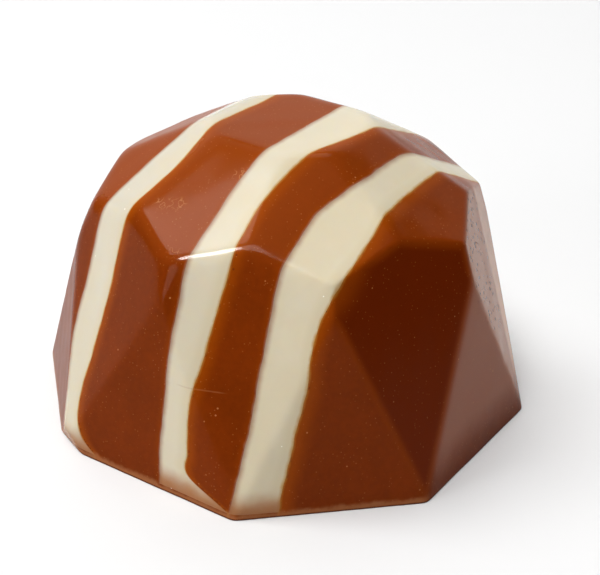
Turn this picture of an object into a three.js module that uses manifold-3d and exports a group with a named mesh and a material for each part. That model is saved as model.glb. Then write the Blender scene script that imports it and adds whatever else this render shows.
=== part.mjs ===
// A moulded chocolate bonbon: one solid piece of milk chocolate cut like a gem, with three stripes of
// white chocolate that lie flush in its surface and run over the top from front to back.
// Millimetres and degrees, +Z up. The origin is the middle of the flat base, and the stripes run along Y.
import * as THREE from "three";
import Module from "manifold-3d";

// Outline of the base: eight corners, with four wide sides that face the axes and four narrow ones between.
const BASE_RADIUS = 15.5;
const WIDE_SIDE_HALF_ANGLE = 23.7;

// Facets: how far each kind leans in from the vertical, and the way a kite faces from the nearest axis.
const WIDE_TRIANGLE_LEAN = 6.9;
const NARROW_TRIANGLE_LEAN = 8.4;
const KITE_LEAN = 18.0;
const KITE_TURN = 22.5;
const WIDE_CROWN_LEAN = 60.3;
const NARROW_CROWN_LEAN = 58.0;

// The crown's facets lie this far from the middle of the base, and the flat table tops them at the height.
const CROWN_REACH = 17.68;
const HEIGHT = 17.85;

// The mould rounds every edge: where two facets meet, the surface is this length times ln 2 below their line.
const EDGE_SOFTNESS = 0.26;

// White stripes: how deep they go, the clearance in their grooves, and how high their feet end, as an angle
// seen from the middle of the base.
const STRIPE_DEPTH = 1.0;
const STRIPE_CLEARANCE = 0.3;
const STRIPE_FOOT_ANGLE = 2.4;
const GROOVE_FOOT_ANGLE = 1.3;
const GROOVE_OVERCUT = 0.6;

// Each station is the angle over the top (0 at the front of the base, 180 at its back), then the X of the
// stripe's left and right edges there.
const STRIPES = {
  stripe_left: [
    [1, -6.85, -3.7],
    [4, -6.9, -4.7],
    [8, -7.0, -5.25],
    [14, -7.1, -5.5],
    [27, -7.5, -5.1],
    [42, -7.2, -4.7],
    [56, -7.0, -4.5],
    [68, -6.35, -3.5],
    [79, -5.5, -3.45],
    [100, -5.6, -3.3],
    [125, -6.4, -4.2],
    [150, -6.7, -4.6],
    [179, -6.5, -4.3],
  ],
  stripe_middle: [
    [1, 1.0, 6.2],
    [3, 1.0, 4.95],
    [6, 0.9, 3.15],
    [12, 0.85, 2.75],
    [21, 0.88, 2.63],
    [38, 1.0, 2.95],
    [52, 0.98, 3.2],
    [68, 0.88, 2.97],
    [78, 1.05, 3.3],
    [97, 0.95, 4.15],
    [116, 0.8, 4.0],
    [145, 1.0, 3.5],
    [179, 1.1, 3.4],
  ],
  stripe_right: [
    [1, 5.9, 8.0],
    [20, 6.0, 8.15],
    [35, 5.9, 8.35],
    [49, 5.78, 8.3],
    [59, 5.8, 8.75],
    [68, 5.65, 8.75],
    [80, 6.3, 8.45],
    [98, 6.35, 8.15],
    [108, 6.75, 8.2],
    [118, 6.85, 8.5],
    [145, 6.95, 9.1],
    [179, 7.0, 9.2],
  ],
};

// Fineness of the meshes.
const DOME_COLUMNS = 96;
const DOME_ROWS = 30;
const STRIPE_STEPS = 44;
const STRIPE_STRANDS = 3;
const NEWTON_STEPS = 6;

const MILK_CHOCOLATE = new THREE.MeshStandardMaterial({ color: 0x7a3612, roughness: 0.35, metalness: 0 });
const WHITE_CHOCOLATE = new THREE.MeshStandardMaterial({ color: 0xe4dabf, roughness: 0.38, metalness: 0 });

const radians = THREE.MathUtils.degToRad;
const wasm = await Module();
wasm.setup();

// A facet's plane: its outward normal and its distance from the origin.
function facing(azimuth, lean) {
  const a = radians(azimuth);
  const l = radians(lean);
  return new THREE.Vector3(Math.cos(l) * Math.cos(a), Math.cos(l) * Math.sin(a), Math.sin(l));
}

function baseCorner(azimuth) {
  return new THREE.Vector3(Math.cos(radians(azimuth)), Math.sin(radians(azimuth)), 0).multiplyScalar(BASE_RADIUS);
}

function planeThrough(point, normal) {
  return { normal, distance: normal.dot(point) };
}

// The same set of facets stands on each quarter of the base.
function allFacets() {
  const facets = [{ normal: new THREE.Vector3(0, 0, 1), distance: HEIGHT }];
  for (let quarter = 0; quarter < 360; quarter += 90) {
    const diagonal = quarter + 45;
    const corner = baseCorner(quarter + WIDE_SIDE_HALF_ANGLE);
    const nextCorner = baseCorner(quarter + 90 - WIDE_SIDE_HALF_ANGLE);
    facets.push(planeThrough(corner, facing(quarter, WIDE_TRIANGLE_LEAN)));
    facets.push(planeThrough(corner, facing(diagonal, NARROW_TRIANGLE_LEAN)));
    facets.push(planeThrough(corner, facing(quarter + KITE_TURN, KITE_LEAN)));
    facets.push(planeThrough(nextCorner, facing(quarter + 90 - KITE_TURN, KITE_LEAN)));
    facets.push({ normal: facing(quarter, WIDE_CROWN_LEAN), distance: CROWN_REACH });
    facets.push({ normal: facing(diagonal, NARROW_CROWN_LEAN), distance: CROWN_REACH });
  }
  return facets;
}

const FACETS = allFacets();

// How far along a ray the rounded surface lies. The surface is the smooth maximum of the facets' planes, and
// Newton's steps start from the sharp-edged solid.
function reachAlong(start, direction) {
  const gains = FACETS.map((facet) => facet.normal.dot(direction));
  const offsets = FACETS.map((facet) => facet.distance - facet.normal.dot(start));
  let reach = Infinity;
  gains.forEach((gain, i) => {
    if (gain > 1e-6) reach = Math.min(reach, offsets[i] / gain);
  });
  for (let step = 0; step < NEWTON_STEPS; step++) {
    const heights = gains.map((gain, i) => (gain * reach - offsets[i]) / EDGE_SOFTNESS);
    const highest = Math.max(...heights);
    const weights = heights.map((height) => Math.exp(height - highest));
    const total = weights.reduce((sum, weight) => sum + weight, 0);
    const slope = weights.reduce((sum, weight, i) => sum + weight * gains[i], 0) / total;
    reach -= (EDGE_SOFTNESS * (highest + Math.log(total))) / slope;
  }
  return reach;
}

// A closed mesh from its points and its triangles' corners.
function closedMesh(points, triangles) {
  const geometry = new THREE.BufferGeometry();
  geometry.setAttribute("position", new THREE.Float32BufferAttribute(points.flatMap((p) => p.toArray()), 3));
  geometry.setIndex(triangles.flat());
  return geometry;
}

// The milk chocolate before its grooves: rings of points from the base's edge up to the table, with one
// point at the top and one in the middle of the base.
function domeGeometry() {
  const points = [];
  const origin = new THREE.Vector3();
  for (let row = 0; row < DOME_ROWS; row++) {
    for (let column = 0; column < DOME_COLUMNS; column++) {
      const direction = facing((360 * column) / DOME_COLUMNS, (90 * row) / DOME_ROWS);
      points.push(direction.multiplyScalar(reachAlong(origin, direction)));
    }
  }
  const up = new THREE.Vector3(0, 0, 1);
  const top = points.push(up.multiplyScalar(reachAlong(origin, up))) - 1;
  const middle = points.push(origin) - 1;
  const triangles = [];
  for (let column = 0; column < DOME_COLUMNS; column++) {
    const next = (column + 1) % DOME_COLUMNS;
    for (let row = 0; row < DOME_ROWS - 1; row++) {
      const below = row * DOME_COLUMNS;
      const above = below + DOME_COLUMNS;
      triangles.push([below + column, below + next, above + next]);
      triangles.push([below + column, above + next, above + column]);
    }
    const highest = (DOME_ROWS - 1) * DOME_COLUMNS;
    triangles.push([highest + column, highest + next, top]);
    triangles.push([next, column, middle]);
  }
  return closedMesh(points, triangles);
}

// A stripe's edges at an angle over the top: a smooth curve through its stations.
function edgesAt(stations, angle) {
  let i = 0;
  while (i < stations.length - 2 && angle > stations[i + 1][0]) i++;
  const before = stations[Math.max(i - 1, 0)];
  const from = stations[i];
  const to = stations[i + 1];
  const after = stations[Math.min(i + 2, stations.length - 1)];
  const span = to[0] - from[0];
  const t = (angle - from[0]) / span;
  return [1, 2].map((side) => {
    const slopeFrom = ((to[side] - before[side]) / (to[0] - before[0])) * span;
    const slopeTo = ((after[side] - from[side]) / (after[0] - from[0])) * span;
    const rise = to[side] - from[side];
    return (
      from[side] + t * (slopeFrom + t * (3 * rise - 2 * slopeFrom - slopeTo + t * (slopeFrom + slopeTo - 2 * rise)))
    );
  });
}

// A band that follows the surface over the top, between two depths, wider than the stripe by a margin.
function bandGeometry(stations, footAngle, margin, outerLift, innerDepth) {
  const points = [];
  const strands = STRIPE_STRANDS + 1;
  for (let step = 0; step <= STRIPE_STEPS; step++) {
    const angle = footAngle + ((180 - 2 * footAngle) * step) / STRIPE_STEPS;
    const [left, right] = edgesAt(stations, angle);
    const direction = new THREE.Vector3(0, -Math.cos(radians(angle)), Math.sin(radians(angle)));
    for (let strand = 0; strand < strands; strand++) {
      const x = THREE.MathUtils.lerp(left - margin, right + margin, strand / STRIPE_STRANDS);
      const start = new THREE.Vector3(x, 0, 0);
      const reach = reachAlong(start, direction);
      points.push(start.clone().addScaledVector(direction, reach + outerLift));
      points.push(start.clone().addScaledVector(direction, reach - innerDepth));
    }
  }
  const outer = (step, strand) => 2 * (step * strands + strand);
  const inner = (step, strand) => outer(step, strand) + 1;
  const triangles = [];
  const quad = (a, b, c, d) => triangles.push([a, b, c], [a, c, d]);
  for (let step = 0; step < STRIPE_STEPS; step++) {
    for (let strand = 0; strand < STRIPE_STRANDS; strand++) {
      quad(outer(step, strand), outer(step, strand + 1), outer(step + 1, strand + 1), outer(step + 1, strand));
      quad(inner(step, strand), inner(step + 1, strand), inner(step + 1, strand + 1), inner(step, strand + 1));
    }
    quad(outer(step, 0), outer(step + 1, 0), inner(step + 1, 0), inner(step, 0));
    const last = STRIPE_STRANDS;
    quad(outer(step, last), inner(step, last), inner(step + 1, last), outer(step + 1, last));
  }
  for (let strand = 0; strand < STRIPE_STRANDS; strand++) {
    const end = STRIPE_STEPS;
    quad(outer(0, strand), inner(0, strand), inner(0, strand + 1), outer(0, strand + 1));
    quad(outer(end, strand), outer(end, strand + 1), inner(end, strand + 1), inner(end, strand));
  }
  return closedMesh(points, triangles);
}

function toSolid(geometry) {
  return new wasm.Manifold(
    new wasm.Mesh({
      numProp: 3,
      vertProperties: geometry.getAttribute("position").array,
      triVerts: new Uint32Array(geometry.index.array),
    }),
  );
}

function toGeometry(solid) {
  const mesh = solid.getMesh();
  const geometry = new THREE.BufferGeometry();
  geometry.setAttribute("position", new THREE.BufferAttribute(mesh.vertProperties, 3));
  geometry.setIndex(new THREE.BufferAttribute(mesh.triVerts, 1));
  return geometry;
}

function named(name, geometry, material) {
  geometry.computeVertexNormals();
  const mesh = new THREE.Mesh(geometry, material);
  mesh.name = name;
  return mesh;
}

const bonbon = new THREE.Group();
let body = toSolid(domeGeometry());
for (const [name, stations] of Object.entries(STRIPES)) {
  const groove = bandGeometry(
    stations,
    GROOVE_FOOT_ANGLE,
    STRIPE_CLEARANCE,
    GROOVE_OVERCUT,
    STRIPE_DEPTH + STRIPE_CLEARANCE,
  );
  body = body.subtract(toSolid(groove));
  bonbon.add(named(name, bandGeometry(stations, STRIPE_FOOT_ANGLE, 0, 0, STRIPE_DEPTH), WHITE_CHOCOLATE));
}
bonbon.add(named("chocolate_body", toGeometry(body), MILK_CHOCOLATE));

export default bonbon;
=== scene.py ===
import math

import bpy
import numpy as np
from mathutils import Matrix, Vector


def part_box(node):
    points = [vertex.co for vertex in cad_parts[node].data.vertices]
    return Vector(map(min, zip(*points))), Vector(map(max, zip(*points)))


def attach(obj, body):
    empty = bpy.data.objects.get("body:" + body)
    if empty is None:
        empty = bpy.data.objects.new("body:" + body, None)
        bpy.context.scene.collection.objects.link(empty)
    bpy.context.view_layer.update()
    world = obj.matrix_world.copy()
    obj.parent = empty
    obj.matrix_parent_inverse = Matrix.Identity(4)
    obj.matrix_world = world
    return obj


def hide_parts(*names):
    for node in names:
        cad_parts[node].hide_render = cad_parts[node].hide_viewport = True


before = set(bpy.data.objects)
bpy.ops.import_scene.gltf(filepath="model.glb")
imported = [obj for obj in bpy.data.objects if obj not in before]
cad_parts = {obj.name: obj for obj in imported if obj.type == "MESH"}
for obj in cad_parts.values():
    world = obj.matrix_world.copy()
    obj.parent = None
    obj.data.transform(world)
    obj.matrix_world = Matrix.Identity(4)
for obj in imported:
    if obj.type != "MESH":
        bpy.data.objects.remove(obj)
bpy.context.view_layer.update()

MM = 0.001


# The mould's form.
# The bonbon is cast in a polished plastic mould whose hollow is cut like a gem: triangles that stand on an
# eight-cornered base, kites between them that point down at its corners, crown facets and a small table.
BASE_RADIUS = 15.5 * MM
WIDE_SIDE_HALF_ANGLE = 23.7
WIDE_TRIANGLE_LEAN = 6.9
NARROW_TRIANGLE_LEAN = 8.4
KITE_LEAN = 18.0
KITE_TURN = 22.5
WIDE_CROWN_LEAN = 60.3
NARROW_CROWN_LEAN = 58.0
CROWN_REACH = 17.68 * MM
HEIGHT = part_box("chocolate_body")[1].z
SIDE_EDGE_SOFTNESS = 0.055 * MM
CROWN_EDGE_SOFTNESS = 0.115 * MM
BROW_EDGE_SOFTNESS = 0.2 * MM
RIPPLE_DEPTH = 0.018 * MM
RIPPLE_LENGTHS = (9.0 * MM, 5.5 * MM, 3.1 * MM)
PROBE_STEP = 0.002 * MM

# Azimuth and lean of the place where a corner of the base is worn off, and how far out it lies.
WORN_CORNER = (-113.7, -15.0)
WORN_CORNER_REACH = 14.41 * MM

# Where the softer edges of the crown and of its brow set in, in millimetres up and to the right.
CROWN_RISE = (7, 13)
CROWN_RIGHT = (9.5, 6)
BROW_RISE = (11.5, 13)
BROW_TOP = (15.2, 14.2)
BROW_RIGHT = (4, 0)


def facing(azimuth, lean):
    """Outward direction of a facet that leans in from the vertical and faces an azimuth, in degrees."""
    a = np.radians(azimuth)
    tilt = np.radians(lean)
    return np.stack([np.cos(tilt) * np.cos(a), np.cos(tilt) * np.sin(a), np.sin(tilt) * np.ones_like(a)], -1)


def mould_facets():
    """Normals and distances from the origin of all the facets, the same on each quarter of the base, and
    of the place where one corner of the base is worn off."""
    quarters = np.arange(0, 360, 90.0)
    corner = BASE_RADIUS * facing(quarters + WIDE_SIDE_HALF_ANGLE, 0)
    next_corner = BASE_RADIUS * facing(quarters + 90 - WIDE_SIDE_HALF_ANGLE, 0)
    through_corner = (
        (facing(quarters, WIDE_TRIANGLE_LEAN), corner),
        (facing(quarters + 45, NARROW_TRIANGLE_LEAN), corner),
        (facing(quarters + KITE_TURN, KITE_LEAN), corner),
        (facing(quarters + 90 - KITE_TURN, KITE_LEAN), next_corner),
    )
    normals = [normal for normal, _ in through_corner]
    distances = [np.sum(normal * point, -1) for normal, point in through_corner]
    for azimuths, lean in ((quarters, WIDE_CROWN_LEAN), (quarters + 45, NARROW_CROWN_LEAN)):
        normals.append(facing(azimuths, lean))
        distances.append(np.full(4, CROWN_REACH))
    normals.append(np.array([[0.0, 0.0, 1.0], facing(*WORN_CORNER)]))
    distances.append(np.array([HEIGHT, WORN_CORNER_REACH]))
    return np.concatenate(normals), np.concatenate(distances)


FACET_NORMALS, FACET_DISTANCES = mould_facets()


def ripple(points):
    """How far the cast surface lies below the mould's true facets: slow waves, a few hundredths deep."""
    depth = np.zeros(points.shape[:-1])
    for i, length in enumerate(RIPPLE_LENGTHS):
        wave = 2 * np.pi / length
        x, y, z = points[..., 0], points[..., 1], points[..., 2]
        depth += np.sin(wave * (x + 0.35 * z) + 1.3 * i) * np.sin(wave * (y - 0.5 * z) + 2.1 * i)
    return RIPPLE_DEPTH * (1 + depth / len(RIPPLE_LENGTHS))


def smooth_step(values, low, high):
    """0 below low and 1 above high, with a smooth step between; the other way round where low is above."""
    t = np.clip((values - low) / (high - low), 0, 1)
    return t**2 * (3 - 2 * t)


def facet_shares(points):
    """Height over each facet in units of the edge softness, and that softness: the edges are crisp on the
    sides and at the right, and softer on the crown, most of all at the brow that the crown starts from."""
    x, y, z = points[..., 0] / MM, points[..., 1] / MM, points[..., 2] / MM
    crown_part = smooth_step(z, *CROWN_RISE) * smooth_step(x, *CROWN_RIGHT)
    brow_part = smooth_step(z, *BROW_RISE) * smooth_step(z, *BROW_TOP)
    brow_part *= smooth_step(x + 0.5 * y, *BROW_RIGHT)
    softness = SIDE_EDGE_SOFTNESS + crown_part * (CROWN_EDGE_SOFTNESS - SIDE_EDGE_SOFTNESS)
    softness += brow_part * (BROW_EDGE_SOFTNESS - CROWN_EDGE_SOFTNESS)
    return (points @ FACET_NORMALS.T - FACET_DISTANCES) / softness[..., None], softness


def height_over_skin(points):
    """Distance of points above the cast surface: the smooth maximum of the facets, and the ripple."""
    over, softness = facet_shares(points)
    highest = over.max(-1)
    total = np.exp(over - highest[..., None]).sum(-1)
    return softness * (highest + np.log(total)) + ripple(points)


def skin_normals(points):
    """Outward direction of the cast surface, from how its height changes along each axis."""
    slopes = []
    for axis in np.eye(3):
        step = PROBE_STEP * axis
        slopes.append(height_over_skin(points + step) - height_over_skin(points - step))
    normals = np.stack(slopes, -1)
    return normals / np.linalg.norm(normals, axis=-1, keepdims=True)


def reach_along(starts, directions):
    """How far along rays from inside the mould its surface lies: from the sharp facets on, each step goes
    to where the slope of the height says that the surface is."""
    gains = directions @ FACET_NORMALS.T
    offsets = FACET_DISTANCES - starts @ FACET_NORMALS.T
    reach = np.where(gains > 1e-6, offsets / np.maximum(gains, 1e-6), np.inf).min(-1)
    for _ in range(8):
        here = height_over_skin(starts + reach[..., None] * directions)
        ahead = height_over_skin(starts + (reach + PROBE_STEP)[..., None] * directions)
        reach = reach - here * PROBE_STEP / (ahead - here)
    return reach


def new_mesh(name, points, faces):
    """A mesh from its points and faces."""
    mesh = bpy.data.meshes.new(name)
    mesh.from_pydata(np.asarray(points).tolist(), [], [list(face) for face in faces])
    return mesh


FOOT_BEVEL = 0.08 * MM
FOOT_ROWS = (0.0, 0.12, 0.25, 0.5, 0.8)
SIDE_ROWS_START = 1.2
DOME_COLUMNS = 576
DOME_ROWS = 168


def cast_dome():
    """The whole bonbon as one closed mesh in rows and columns by angle about its middle. Its lowest edge is
    rounded under, where it met the scraper."""
    rows = np.concatenate([FOOT_ROWS, np.linspace(SIDE_ROWS_START, 90, DOME_ROWS, endpoint=False)])
    azimuths = np.linspace(0, 360, DOME_COLUMNS, endpoint=False)
    directions = facing(*np.meshgrid(azimuths, rows))
    reach = reach_along(np.zeros_like(directions), directions)
    points = directions * reach[..., None]
    under = np.clip(1 - points[..., 2] / FOOT_BEVEL, 0, 1)
    tuck = FOOT_BEVEL * (1 - np.sqrt(1 - under**2))
    points[..., :2] *= 1 - (tuck / np.linalg.norm(points[..., :2], axis=-1))[..., None]
    up = np.array([[0.0, 0.0, 1.0]])
    top = up * reach_along(np.zeros((1, 3)), up)[:, None]
    points = np.concatenate([points.reshape(-1, 3), top, np.zeros((1, 3))])
    count = len(rows)
    row, column = np.meshgrid(np.arange(count - 1), np.arange(DOME_COLUMNS), indexing="ij")
    following = (column + 1) % DOME_COLUMNS
    below, above = row * DOME_COLUMNS, (row + 1) * DOME_COLUMNS
    lower = np.stack([below + column, below + following, above + following], -1).reshape(-1, 3)
    upper = np.stack([below + column, above + following, above + column], -1).reshape(-1, 3)
    ring = np.arange(DOME_COLUMNS)
    next_ring = (ring + 1) % DOME_COLUMNS
    last = (count - 1) * DOME_COLUMNS
    top_index = np.full(DOME_COLUMNS, count * DOME_COLUMNS)
    cap = np.stack([last + ring, last + next_ring, top_index], -1)
    base = np.stack([next_ring, ring, top_index + 1], -1)
    return new_mesh("dome", points, np.concatenate([lower, upper, cap, base]))


# White chocolate stripes.
# Thin bands of white chocolate are run into the mould first, so they lie flush in the finished surface.
# They go over the top from front to back, and two of them flare to the right where they meet the base.
STRIPE_DEPTH = 1.0 * MM
STRIPE_OVERCUT = 0.4 * MM
STRIPE_FOOT_ANGLE = 1.5
STRIPE_STEPS = 420
STRIPE_STRANDS = 4
EDGE_WANDER = 0.02 * MM
GLOSS_IOR = 1.165
WHITE_COLOR = (0.65, 0.585, 0.45)
# Painted shade: the white is painted darker towards the left, and darker still on the left of the crown,
# where the lamps light it most.
WHITE_LEFT_COLOR = (0.585, 0.54, 0.445)
WHITE_CROWN_COLOR = (0.52, 0.48, 0.395)
# Random clouding of the white's own tone, and painted shade inside the stripes' right edges, where the
# surface turns from the light.
WHITE_CLOUD_AND_SHADE_COLOR = (0.57, 0.49, 0.33)
SCRATCH_HEIGHT = 6.9 * MM
LEFT_EDGE_COLOR = (0.36, 0.2, 0.13)
# The orange fringe at the stripes' right edges is partly the blend of white into milk chocolate and partly
# painted glow of light through the thin white.
RIGHT_EDGE_COLOR = (0.48, 0.24, 0.05)
FOOT_TAN_COLOR = (0.36, 0.16, 0.07)
# Painted shade: a thin dark line along the very bottom edge, where it meets the table.
PAINTED_CONTACT_SHADE_COLOR = (0.1, 0.022, 0.004)
GLINT_COLOR = (0.9, 0.88, 0.8)

# Stations along each stripe: the angle over the top in degrees, 0 at the front of the base and 180 at its
# back, and X of the left and right edges in millimetres.
STRIPES = {
    "stripe_left": (
        (1, -6.85, -3.7),
        (4, -6.9, -4.7),
        (8, -7.0, -5.25),
        (14, -7.1, -5.5),
        (27, -7.5, -5.1),
        (42, -7.2, -4.7),
        (56, -7.0, -4.5),
        (68, -6.35, -3.5),
        (79, -5.5, -3.45),
        (100, -5.6, -3.3),
        (125, -6.4, -4.2),
        (150, -6.7, -4.6),
        (179, -6.5, -4.3),
    ),
    "stripe_middle": (
        (1, 1.0, 6.2),
        (3, 1.0, 4.95),
        (6, 0.9, 3.15),
        (12, 0.85, 2.75),
        (21, 0.88, 2.63),
        (38, 1.0, 2.95),
        (52, 0.98, 3.2),
        (68, 0.88, 2.97),
        (78, 1.05, 3.3),
        (97, 0.95, 4.15),
        (116, 0.8, 4.0),
        (145, 1.0, 3.5),
        (179, 1.1, 3.4),
    ),
    "stripe_right": (
        (1, 5.9, 8.0),
        (20, 6.0, 8.15),
        (35, 5.9, 8.35),
        (49, 5.78, 8.3),
        (59, 5.8, 8.75),
        (68, 5.65, 8.75),
        (80, 6.3, 8.45),
        (98, 6.35, 8.15),
        (108, 6.75, 8.2),
        (118, 6.85, 8.5),
        (145, 6.95, 9.1),
        (179, 7.0, 9.2),
    ),
}


def edges_at(stations, angles):
    """X of a stripe's two edges at angles over the top: smooth curves through its stations, in metres."""
    table = np.array(stations, dtype=float)
    at, sides = table[:, 0], table[:, 1:]
    slopes = np.gradient(sides, at, axis=0)
    slopes[0] = (sides[1] - sides[0]) / (at[1] - at[0])
    slopes[-1] = (sides[-1] - sides[-2]) / (at[-1] - at[-2])
    i = np.clip(np.searchsorted(at, angles, side="right") - 1, 0, len(at) - 2)
    span = at[i + 1] - at[i]
    t = ((angles - at[i]) / span)[..., None]
    start, rise = sides[i], sides[i + 1] - sides[i]
    first, second = slopes[i] * span[..., None], slopes[i + 1] * span[..., None]
    curve = start + t * (first + t * (3 * rise - 2 * first - second + t * (first + second - 2 * rise)))
    phases = table[2, 1:]
    turns = angles[..., None]
    wander = np.sin(0.33 * turns + phases) + 0.6 * np.sin(0.71 * turns + 3 * phases)
    wander += 0.4 * np.sin(1.37 * turns + 5 * phases)
    return MM * curve + EDGE_WANDER * wander


def new_piece(name, mesh):
    """An object in the scene that shows a mesh."""
    piece = bpy.data.objects.new(name, mesh)
    bpy.context.scene.collection.objects.link(piece)
    return piece


def stripe_band(name, stations):
    """A band through the surface that is as wide as the stripe, and a little deeper and higher."""
    angles = np.linspace(STRIPE_FOOT_ANGLE, 180 - STRIPE_FOOT_ANGLE, STRIPE_STEPS + 1)
    edges = edges_at(stations, angles)
    share = np.linspace(0, 1, STRIPE_STRANDS + 1)
    x = edges[:, :1] + share * (edges[:, 1:] - edges[:, :1])
    starts = np.stack([x, np.zeros_like(x), np.zeros_like(x)], -1)
    turn = np.radians(angles)[:, None] + 0 * x
    directions = np.stack([np.zeros_like(turn), -np.cos(turn), np.sin(turn)], -1)
    reach = reach_along(starts, directions)[..., None]
    outer = starts + directions * (reach + STRIPE_OVERCUT)
    inner = starts + directions * (reach - STRIPE_DEPTH)
    # Once round the band's section at each step: along the outside, then back along the inside.
    section = np.concatenate([outer, inner[:, ::-1]], axis=1)
    steps, around = section.shape[:2]
    step, place = np.meshgrid(np.arange(steps - 1), np.arange(around), indexing="ij")
    after = (place + 1) % around
    here, there = step * around, (step + 1) * around
    walls = np.stack([here + place, here + after, there + after, there + place], -1).reshape(-1, 4)
    ends = [list(range(around))[::-1], [(steps - 1) * around + k for k in range(around)]]
    return new_piece(name, new_mesh(name, section.reshape(-1, 3), walls.tolist() + ends))


def combine(piece, tool, operation):
    """Cuts one closed mesh with another, keeping the first."""
    change = piece.modifiers.new("cut", "BOOLEAN")
    change.operation = operation
    change.solver = "MANIFOLD"
    change.object = tool
    depsgraph = bpy.context.evaluated_depsgraph_get()
    mesh = bpy.data.meshes.new_from_object(piece.evaluated_get(depsgraph))
    mesh.materials.clear()
    piece.modifiers.clear()
    piece.data = mesh


CAST_TOLERANCE = 0.03 * MM
SHARP_ANGLE = 40


def places_of(mesh):
    """The places of a mesh's points, one row for each."""
    places = np.empty(len(mesh.vertices) * 3)
    mesh.vertices.foreach_get("co", places)
    return places.reshape(-1, 3)


def polish(piece):
    """Smooth shading that follows the cast surface exactly where the piece shows it, so that neighbours
    meet without a seam; the rounded foot, the base and the hidden walls keep their own."""
    mesh = piece.data
    mesh.shade_smooth()
    mesh.set_sharp_from_angle(angle=math.radians(SHARP_ANGLE))
    points = places_of(mesh)
    shows = (np.abs(height_over_skin(points)) < CAST_TOLERANCE) & (points[:, 2] > 1.3 * FOOT_BEVEL)
    corners = np.empty(len(mesh.loops), dtype=np.int64)
    mesh.loops.foreach_get("vertex_index", corners)
    sides = np.empty(len(mesh.polygons), dtype=np.int64)
    mesh.polygons.foreach_get("loop_total", sides)
    face_of_corner = np.repeat(np.arange(len(sides)), sides)
    face_shows = np.bincount(face_of_corner, shows[corners]) == sides
    normals = np.empty(len(mesh.loops) * 3)
    mesh.corner_normals.foreach_get("vector", normals)
    normals = normals.reshape(-1, 3)
    cast = face_shows[face_of_corner]
    normals[cast] = skin_normals(points[corners[cast]])
    mesh.normals_split_custom_set(normals)


class Wire:
    """A socket of a material's nodes. Sums, differences and products of wires add Math nodes."""

    def __init__(self, tree, socket=None):
        self.tree = tree
        self.socket = socket

    def node(self, kind, settings=None, inputs=None, output=0):
        """Adds a node: its settings first, then the values or wires of its sockets."""
        made = self.tree.nodes.new(kind)
        for key, value in (settings or {}).items():
            setattr(made, key, value)
        for key, value in (inputs or {}).items():
            socket = made.inputs[key] if isinstance(key, int) else find_socket(made.inputs, key)
            if isinstance(value, Wire):
                self.tree.links.new(value.socket, socket)
            else:
                socket.default_value = value
        found = made.outputs[output] if isinstance(output, int) else find_socket(made.outputs, output)
        return Wire(self.tree, found)

    def math(self, operation, *values):
        """One sum, product or the like of wires and numbers."""
        return self.node("ShaderNodeMath", {"operation": operation}, dict(enumerate(values)))

    def __add__(self, other):
        return self.math("ADD", self, other)

    __radd__ = __add__

    def __sub__(self, other):
        return self.math("SUBTRACT", self, other)

    def __rsub__(self, other):
        return self.math("SUBTRACT", other, self)

    def __mul__(self, other):
        return self.math("MULTIPLY", self, other)

    __rmul__ = __mul__

    def between(self, low, high):
        """0 below low and 1 above high, with a smooth step; the other way round where low is above high."""
        settings = {"interpolation_type": "SMOOTHSTEP"}
        return self.node("ShaderNodeMapRange", settings, {"Value": self, "From Min": low, "From Max": high})

    def along(self, axis):
        """One part of a place or direction."""
        return self.node("ShaderNodeSeparateXYZ", None, {"Vector": self}, axis)

    def tint(self, first, second):
        """The first colour where this is 0 and the second where it is 1."""
        first, second = (c if isinstance(c, Wire) else (*c, 1.0) for c in (first, second))
        inputs = {"Factor_Float": self, "A_Color": first, "B_Color": second}
        return self.node("ShaderNodeMix", {"data_type": "RGBA"}, inputs, "Result_Color")

    def attribute(self, name):
        """A value kept at the mesh's points."""
        return self.node("ShaderNodeAttribute", {"attribute_name": name}, output="Fac")

    def noise(self, place, per_mm, detail=2.0, roughness=0.5):
        """Soft random waves from 0 to 1, about as many to the millimetre as is given."""
        inputs = {"Vector": place, "Scale": per_mm / MM, "Detail": detail, "Roughness": roughness}
        return self.node("ShaderNodeTexNoise", None, inputs, "Fac")

    def cells(self, place, per_mm, outside, inside):
        """Scattered round spots: 1 within a distance of a cell's middle and 0 beyond another."""
        inputs = {"Vector": place, "Scale": per_mm / MM}
        return self.node("ShaderNodeTexVoronoi", None, inputs, "Distance").between(outside, inside)


def find_socket(sockets, name):
    """A node's socket by its identifier, or else by its name."""
    for socket in sockets:
        if socket.identifier == name:
            return socket
    return sockets[name]


def new_material(name):
    """A material with a Principled shader, as its node and a wire to start from."""
    material = bpy.data.materials.new(name)
    material.use_nodes = True
    shader = material.node_tree.nodes["Principled BSDF"]
    return material, shader, Wire(material.node_tree)


def scratch(place):
    """A fine level scratch across the front."""
    off = place.math("ABSOLUTE", place.along("Z") - SCRATCH_HEIGHT).between(0.06 * MM, 0.02 * MM)
    ends = place.along("X").between(1.5 * MM, 2 * MM) * place.along("X").between(4.6 * MM, 4 * MM)
    return off * ends * place.along("Y").between(0.0, -0.1 * MM)


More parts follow.
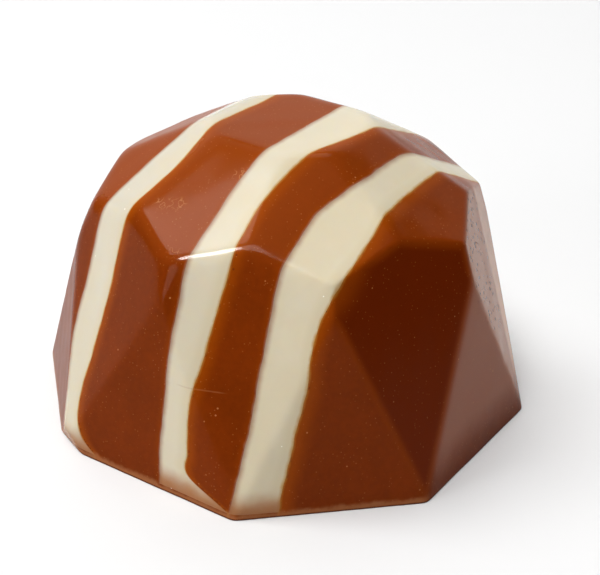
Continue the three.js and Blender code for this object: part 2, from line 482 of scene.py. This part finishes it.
def white_chocolate():
    """Cream-white and slightly see-through; the milk chocolate beneath tints its edges and its feet. Painted
    into its colour: shade on the left, on the crown and inside the right edges, glow at the right edges, a
    thin line of shade at the very bottom, and glints.
    """
    material, shader, start = new_material("cast_white_chocolate")
    place = start.node("ShaderNodeTexCoord", output="Object")
    # Painted shade: darker towards the left and on the left of the crown, where the light falls strongest.
    toward_right = place.along("X").between(-8 * MM, 8 * MM)
    color = toward_right.tint(WHITE_LEFT_COLOR, WHITE_COLOR)
    color = (start.attribute("crown") * (1 - toward_right)).tint(color, WHITE_CROWN_COLOR)
    cloudy = start.noise(place, 0.25, 3.0).between(0.6, 0.4) * 0.25
    # Painted shade: darker and yellower inside the right edges; the clouding is the white's own uneven tone.
    painted_right_shade = start.attribute("inside_right").between(0.9, 0.1) * 0.5
    color = cloudy.math("MAXIMUM", cloudy, painted_right_shade).tint(color, WHITE_CLOUD_AND_SHADE_COLOR)
    ragged = start.attribute("from_edge") + 0.12 * (start.noise(place, 1.8, 4.0) - 0.5)
    at_right = start.attribute("at_right_edge").between(0.4, 0.6)
    left_edge = ragged.between(0.36, -0.08) * (1 - at_right)
    color = (left_edge * 0.9).tint(color, LEFT_EDGE_COLOR)
    # At the right edges, partly painted glow.
    color = (ragged.between(0.16, -0.04) * at_right * 0.9).tint(color, RIGHT_EDGE_COLOR)
    foot = start.attribute("from_foot") + 0.5 * (start.noise(place, 0.9, 3.0) - 0.5)
    color = (foot.between(1.8, 0.4) * 0.95).tint(color, FOOT_TAN_COLOR)
    # Painted shade in a thin line at the very bottom.
    color = start.attribute("from_foot").between(0.15, 0.06).tint(color, PAINTED_CONTACT_SHADE_COLOR)
    glints = start.cells(place, 0.9, 0.05, 0.02) * start.noise(place, 0.5).between(0.5, 0.55)
    color = glints.tint(color, GLINT_COLOR)
    color = (scratch(place) * 0.2).tint(color, LEFT_EDGE_COLOR)
    links = material.node_tree.links
    links.new(color.socket, shader.inputs["Base Color"])
    rough = 0.1 + 0.1 * start.noise(place, 0.9, 3.0)
    links.new(rough.socket, shader.inputs["Roughness"])
    grain = start.noise(place, 5.0, 3.0) * 0.35 + start.noise(place, 0.7, 2.0)
    relief = {"Strength": 0.12, "Distance": 0.03 * MM, "Height": grain}
    bump = start.node("ShaderNodeBump", None, relief, "Normal")
    links.new(bump.socket, shader.inputs["Normal"])
    shader.inputs["IOR"].default_value = GLOSS_IOR
    shader.inputs["Subsurface Weight"].default_value = 0.6
    shader.inputs["Subsurface Radius"].default_value = (1.0, 0.75, 0.45)
    shader.inputs["Subsurface Scale"].default_value = 0.45 * MM
    return material


FAR_AWAY = 9.0
# The side that mirrors the pale table, where a sheen is painted in, fades out over these azimuths in
# degrees.
FADE_OF_SHEEN_SIDE = (65, 25)

# Directions that some of the sides face, and where the crown is crinkled, in millimetres.
UPWARD = np.array([0.0, 0.0, 1.0])
SHEEN_SIDE = facing(20.0, 10)
PITTED_SIDE = facing(KITE_TURN, KITE_LEAN)
# The shaded side faces away from the lamps; the milk chocolate there is painted darker.
SHADED_SIDE = facing(-KITE_TURN, KITE_LEAN)
FAR_SIDE = facing(-160.0, 30)
CRINKLE_PLACES = np.array(
    [(-2.7, -9.1, 15.1), (-2.1, -8.9, 15.2), (-1.6, -8.8, 15.3), (0.6, -6.2, 16.8), (0.0, -11.2, 13.6)]
)


def stripe_marks(points):
    """How far points lie from the stripes' edges, in millimetres sideways at their angle over the top."""
    angles = np.degrees(np.arctan2(points[:, 2], -points[:, 1]))
    angles = np.clip(angles, STRIPE_FOOT_ANGLE, 180 - STRIPE_FOOT_ANGLE)
    edges = np.stack([edges_at(stations, angles) for stations in STRIPES.values()]) / MM
    after_left = points[:, 0] / MM - edges[..., 0]
    after_right = points[:, 0] / MM - edges[..., 1]
    near_left = np.abs(after_left).min(0)
    near_right = np.abs(after_right).min(0)
    return {
        "from_edge": np.minimum(near_left, near_right),
        "at_right_edge": near_right < near_left,
        "beside_right": np.where(after_right > 0, after_right, FAR_AWAY).min(0),
        "beside_left": np.where(after_left < 0, -after_left, FAR_AWAY).min(0),
        "inside_right": np.where(after_right < 0, -after_right, FAR_AWAY).min(0),
    }


def facet_marks(points):
    """How far points lie from the nearest fold, in millimetres, and how much they belong to some sides."""
    over, softness = facet_shares(points)
    share = np.exp(over - over.max(-1, keepdims=True))
    share /= share.sum(-1, keepdims=True)

    def belongs(side, closeness):
        return share @ (FACET_NORMALS @ side > closeness)

    order = np.argsort(over, -1)
    second, first = order[:, -2], order[:, -1]
    row = np.arange(len(points))
    gap = (over[row, first] - over[row, second]) * softness / MM
    apart = np.linalg.norm(FACET_NORMALS[first] - FACET_NORMALS[second], axis=-1)
    azimuth = np.degrees(np.arctan2(points[:, 1], points[:, 0]))
    sheen_part = smooth_step(azimuth, *FADE_OF_SHEEN_SIDE)
    return {
        "from_fold": gap / apart,
        "sheen_side": belongs(SHEEN_SIDE, 0.8) * sheen_part,
        "pitted_side": belongs(PITTED_SIDE, 0.99) * sheen_part,
        "shaded_side": belongs(SHADED_SIDE, 0.99),
        "far_side": belongs(FAR_SIDE, 0.77),
        "crown": belongs(UPWARD, 0.7),
    }


def mark_places(piece):
    """Keeps at each of a piece's points where it lies on the bonbon, for the material to read."""
    points = places_of(piece.data)
    from_crinkle = np.linalg.norm(points[:, None] / MM - CRINKLE_PLACES, axis=-1).min(-1)
    marks = {"from_foot": points[:, 2] / MM, "from_crinkle": from_crinkle}
    marks.update(stripe_marks(points))
    marks.update(facet_marks(points))
    for name, values in marks.items():
        kept = piece.data.attributes.new(name, "FLOAT", "POINT")
        kept.data.foreach_set("value", values.astype(np.float32))


dome = cast_dome()
white = white_chocolate()
bands = []
for stripe_name, stripe_stations in STRIPES.items():
    band = stripe_band(stripe_name + "_band", stripe_stations)
    stripe = new_piece(stripe_name + "_cast", dome.copy())
    combine(stripe, band, "INTERSECT")
    mark_places(stripe)
    polish(stripe)
    stripe.data.materials.append(white)
    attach(stripe, "root")
    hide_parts(stripe_name)
    bands.append(band)


# Milk chocolate body.
# The shell, its filling and the poured base are one solid outside: glossy milk chocolate that took its
# shine from the mould, with the white stripes let into it.
MILK_COLOR = (0.19, 0.036, 0.0032)
# Painted light: the crown is painted a lighter, oranger brown, most on its left.
MILK_CROWN_COLOR = (0.25, 0.054, 0.0065)
MILK_GLOW_COLOR = (0.34, 0.078, 0.003)
# Painted shade for the side that faces away from the lamps.
PAINTED_SHADE_COLOR = (0.15, 0.0225, 0.0012)
# Painted reflection of the pale table on the right side, greyish on the flat facet and warmer on the pitted
# side.
PAINTED_SHEEN_COLOR = (0.37, 0.165, 0.11)
PITTED_SIDE_SHEEN_COLOR = (0.42, 0.16, 0.07)
# Painted reflection: the far part of the pitted side, beyond its fold, is painted paler.
PALE_COLOR = (0.75, 0.45, 0.32)
# Pale specks and scratch, and painted highlights on the crinkles of the crown.
SPECK_AND_HIGHLIGHT_COLOR = (0.5, 0.24, 0.1)
PIT_COLOR = (0.13, 0.03, 0.012)


def glow_through(start):
    """Painted glow where light glows through: beside the stripes, and along the folds of the shaded side."""
    after_stripe = start.attribute("beside_right").between(0.9, 0.0) * 0.6
    before_stripe = start.attribute("beside_left").between(0.5, 0.0) * 0.2
    folds = start.attribute("from_fold").between(0.6, 0.0) * start.attribute("shaded_side") * 0.45
    glow = after_stripe.math("MAXIMUM", after_stripe, before_stripe)
    return glow.math("MAXIMUM", glow, folds)


def beyond_fold(start, place):
    """The far part of the pitted side, which a fold parts from the rest."""
    return place.along("Y").between(5.6 * MM, 6.3 * MM) * start.attribute("pitted_side")


def small_pits(start, place):
    """Scattered small pits in the upper part of the pitted side, in patches, up to its fold."""
    upper_part = start.attribute("from_foot").between(5.0, 7.5) * start.attribute("pitted_side")
    patches = start.noise(place, 0.8).between(0.36, 0.5)
    return start.cells(place, 2.4, 0.33, 0.2) * upper_part * (1 - beyond_fold(start, place)) * patches


def pale_specks(start, place):
    """A few larger and many small pale specks, in patches."""
    larger = start.cells(place, 1.0, 0.075, 0.035) * start.noise(place, 0.45).between(0.42, 0.55) * 0.65
    small = start.cells(place, 3.8, 0.2, 0.06) * start.noise(place, 1.1).between(0.3, 0.6) * 0.32
    return larger.math("MAXIMUM", larger, small)


def dark_chips(start, place):
    """A few dark chips close beside the stripes."""
    beside = start.attribute("from_edge").between(0.4, 0.2)
    return start.cells(place, 1.3, 0.1, 0.05) * beside * start.noise(place, 0.7).between(0.5, 0.55)


def crown_creases(start, place):
    """Fine creases where the crown is crinkled, raised in the bump and painted pale as highlights."""
    waves = start.noise(place, 2.4, 1.0)
    crinkled = start.attribute("from_crinkle").between(0.6, 0.15)
    return waves.between(0.46, 0.49) * waves.between(0.53, 0.5) * crinkled


def scraped_foot(start, place):
    """The lowest edge, scraped to a ragged line on all but the side with the painted sheen."""
    ragged = start.attribute("from_foot") + 0.5 * (start.noise(place, 1.8, 3.0) - 0.5)
    return ragged.between(0.55, 0.2) * (1 - start.attribute("sheen_side"))


def milk_chocolate():
    """Brown and glossy, with pale specks, a pitted side, dark chips, a less shiny far side, a crinkled spot
    and a
    scraped foot. Painted into its colour: light that glows through beside the stripes and along the folds, a
    lighter crown, a darker shaded side, a sheen on the right where it mirrors the pale table, a paler far
    part of the pitted side, highlights on the crinkles and a thin line of shade at the very bottom."""
    material, shader, start = new_material("cast_milk_chocolate")
    place = start.node("ShaderNodeTexCoord", output="Object")
    foot = start.attribute("from_foot")
    pitted_side = start.attribute("pitted_side")
    pits = small_pits(start, place)
    creases = crown_creases(start, place)

    cloudy = start.noise(place, 0.2, 3.0).between(0.3, 0.7) * 0.6
    cloudy = cloudy + start.noise(place, 3.0, 4.0).between(0.3, 0.7) * 0.4
    color = cloudy.tint(tuple(0.88 * c for c in MILK_COLOR), tuple(1.1 * c for c in MILK_COLOR))
    # Painted light: the crown is painted lighter, more so on its left, where the light falls on it.
    on_left = place.along("X").between(8 * MM, 1 * MM)
    color = (start.attribute("crown") * (0.35 + 0.65 * on_left)).tint(color, MILK_CROWN_COLOR)
    # Painted shade: the side that faces away from the lamps is painted darker.
    color = start.attribute("shaded_side").tint(color, PAINTED_SHADE_COLOR)
    color = glow_through(start).tint(color, MILK_GLOW_COLOR)
    # Painted reflection: the right side, where it mirrors the pale table, is painted a pale greyish brown,
    # more so higher up.
    painted_sheen = start.attribute("sheen_side") * (foot + start.noise(place, 0.4) - 0.5).between(0.1, 3.0)
    color = (painted_sheen * 0.85).tint(color, pitted_side.tint(PAINTED_SHEEN_COLOR, PITTED_SIDE_SHEEN_COLOR))
    # Painted reflection: beyond the fold the pitted side faces the pale table behind and is painted paler.
    color = (beyond_fold(start, place) * foot.between(1.0, 5.0) * 0.8).tint(color, PALE_COLOR)
    color = (pits * 0.95).tint(color, PIT_COLOR)
    ragged = start.attribute("from_edge") + 0.12 * (start.noise(place, 1.8, 4.0) - 0.5)
    at_right = start.attribute("at_right_edge").between(0.4, 0.6)
    # At the right edges the fringe is partly painted glow.
    edge_color = at_right.tint(LEFT_EDGE_COLOR, RIGHT_EDGE_COLOR)
    color = (ragged.between(0.13, -0.05) * 0.75).tint(color, edge_color)
    color = (scraped_foot(start, place) * 0.7).tint(color, FOOT_TAN_COLOR)
    # Painted shade in a thin line at the very bottom.
    color = foot.between(0.15, 0.06).tint(color, PAINTED_CONTACT_SHADE_COLOR)
    color = pale_specks(start, place).tint(color, SPECK_AND_HIGHLIGHT_COLOR)
    color = (dark_chips(start, place) * 0.7).tint(color, PIT_COLOR)
    # Painted highlights along the creases.
    color = (creases * 0.6).tint(color, SPECK_AND_HIGHLIGHT_COLOR)
    color = (scratch(place) * 0.2).tint(color, SPECK_AND_HIGHLIGHT_COLOR)

    links = material.node_tree.links
    links.new(color.socket, shader.inputs["Base Color"])
    rough = 0.06 + 0.1 * start.noise(place, 0.8, 3.0) + 0.08 * pits + 0.19 * start.attribute("far_side")
    links.new(rough.socket, shader.inputs["Roughness"])
    grain = start.noise(place, 6.0, 3.0) * 0.15 + start.noise(place, 0.6, 2.0) - pits * 4 + creases * 3
    relief = {"Strength": 0.15, "Distance": 0.03 * MM, "Height": grain}
    bump = start.node("ShaderNodeBump", None, relief, "Normal")
    links.new(bump.socket, shader.inputs["Normal"])
    shader.inputs["IOR"].default_value = GLOSS_IOR
    shader.inputs["Subsurface Weight"].default_value = 0.15
    shader.inputs["Subsurface Radius"].default_value = (1.0, 0.3, 0.08)
    shader.inputs["Subsurface Scale"].default_value = 0.4 * MM
    return material


body = new_piece("milk_body", dome)
for band in bands:
    combine(body, band, "DIFFERENCE")
    bpy.data.objects.remove(band)
mark_places(body)
polish(body)
body.data.materials.append(milk_chocolate())
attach(body, "root")
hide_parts("chocolate_body")


# Floor.
# A plain pale table top of white acrylic, softly lit from below, on which the bonbon stands loose.
FLOOR_SIZE = 6.0
FLOOR_COLOR = (0.66, 0.66, 0.66, 1.0)
FLOOR_GLOW = 0.09
floor_corners = FLOOR_SIZE / 2 * np.array([(-1, -1, 0), (1, -1, 0), (1, 1, 0), (-1, 1, 0)])
floor = new_piece("floor", new_mesh("floor", floor_corners, [(0, 1, 2, 3)]))
floor_material, floor_shader, _ = new_material("floor")
floor_shader.inputs["Base Color"].default_value = FLOOR_COLOR
floor_shader.inputs["Roughness"].default_value = 0.9
floor_shader.inputs["Specular IOR Level"].default_value = 0.0
floor_shader.inputs["Emission Color"].default_value = (1.0, 1.0, 1.0, 1.0)
floor_shader.inputs["Emission Strength"].default_value = FLOOR_GLOW
floor.data.materials.append(floor_material)


# Camera.
# It looks down on the bonbon from the front right, close enough for some perspective.
CAMERA_TURN = -57.13
CAMERA_RISE = 26.78
CAMERA_DISTANCE = 92.64 * MM
CAMERA_ROLL = 2.42
CAMERA_LENS = 89.94
AIM_RIGHT = 0.87 * MM
AIM_UP = -2.23 * MM
MIDDLE = Vector((0, 0, 9.3 * MM))


def direction(turn, rise):
    """A direction in space from its azimuth and its angle above the floor, in degrees."""
    t, r = math.radians(turn), math.radians(rise)
    return Vector((math.cos(r) * math.cos(t), math.cos(r) * math.sin(t), math.sin(r)))


def picture_axes(back):
    """The right and up directions of a level picture, taken against a direction."""
    right = Vector((0, 0, 1)).cross(back).normalized()
    return right, back.cross(right)


toward_camera = direction(CAMERA_TURN, CAMERA_RISE)
right, upward = picture_axes(toward_camera)
camera_place = MIDDLE + CAMERA_DISTANCE * toward_camera
aim = MIDDLE + AIM_RIGHT * right + AIM_UP * upward
back = (camera_place - aim).normalized()
right, upward = picture_axes(back)
roll = math.radians(CAMERA_ROLL)
rolled_right = right * math.cos(roll) + upward * math.sin(roll)
rolled_upward = upward * math.cos(roll) - right * math.sin(roll)
camera_axes = Matrix((rolled_right, rolled_upward, back)).transposed()
camera = bpy.data.objects.new("camera", bpy.data.cameras.new("camera"))
camera.data.lens = CAMERA_LENS
camera.data.sensor_width = 36
camera.data.clip_start = 0.005
camera.matrix_world = Matrix.Translation(camera_place) @ camera_axes.to_4x4()
bpy.context.scene.collection.objects.link(camera)
bpy.context.scene.camera = camera


# Light.
# Strong lamps at the front left give the form, a softbox high at the left shines in the crown, and a small
# lamp draws the bright line on the brow. A pale backdrop stands behind, and weak lights fill in all round.
LAMP_DISTANCE = 0.5
WORLD_GLOW = 0.01

# Name; azimuth from the camera, angle above the table and half the width spanned, in degrees; radiance.
ROUND_LAMPS = (
    ("front_left", -27, 62, 12.0, 11.0),
    ("front_low", -50, 14, 12.0, 3.9),
    ("front_fill", 20, 60, 14.0, 0.9),
    ("top_fill", 0, 84, 22.0, 0.5),
    ("back_fill", 180, 60, 14.0, 2.0),
    ("left_panel", -145, 42, 15.0, 0.55),
    ("bright_line", -54, 51, 7.2, 105.0),
)

# The same, with half the width and half the height.
SQUARE_LAMPS = (
    ("softbox", -104, 58, 10.5, 14.5, 8.0),
    ("backdrop", 165, 20, 50.0, 20.0, 0.76),
)


def hang_light(name, turn, rise, width, height, radiance, shape):
    """A light that faces the bonbon from an angle beside the camera and above the table."""
    panel = bpy.data.objects.new(name, bpy.data.lights.new(name, "AREA"))
    panel.data.shape = shape
    panel.data.size = width
    if shape == "RECTANGLE":
        panel.data.size_y = height
    area = width * height * (math.pi / 4 if shape == "DISK" else 1)
    panel.data.energy = radiance * math.pi * area
    toward = direction(CAMERA_TURN + turn, rise)
    panel.location = MIDDLE + LAMP_DISTANCE * toward
    panel.rotation_euler = toward.to_track_quat("Z", "Y").to_euler()
    panel.visible_camera = False
    bpy.context.scene.collection.objects.link(panel)


def width_of(half_angle):
    """How wide a light is that spans twice this angle as seen from the bonbon."""
    return 2 * LAMP_DISTANCE * math.tan(math.radians(half_angle))


for name, turn, rise, half_angle, radiance in ROUND_LAMPS:
    hang_light(name, turn, rise, width_of(half_angle), width_of(half_angle), radiance, "DISK")
for name, turn, rise, half_width, half_height, radiance in SQUARE_LAMPS:
    hang_light(name, turn, rise, width_of(half_width), width_of(half_height), radiance, "RECTANGLE")

# The small lamp is seen in the gloss alone.
bpy.data.objects["bright_line"].visible_diffuse = False

world = bpy.data.worlds.new("studio")
world.use_nodes = True
surroundings = world.node_tree.nodes["Background"]
surroundings.inputs["Color"].default_value = (1.0, 1.0, 1.0, 1.0)
surroundings.inputs["Strength"].default_value = WORLD_GLOW
bpy.context.scene.world = world
bpy.context.scene.view_settings.view_transform = "Standard"
bpy.context.scene.view_settings.look = "Medium High Contrast"
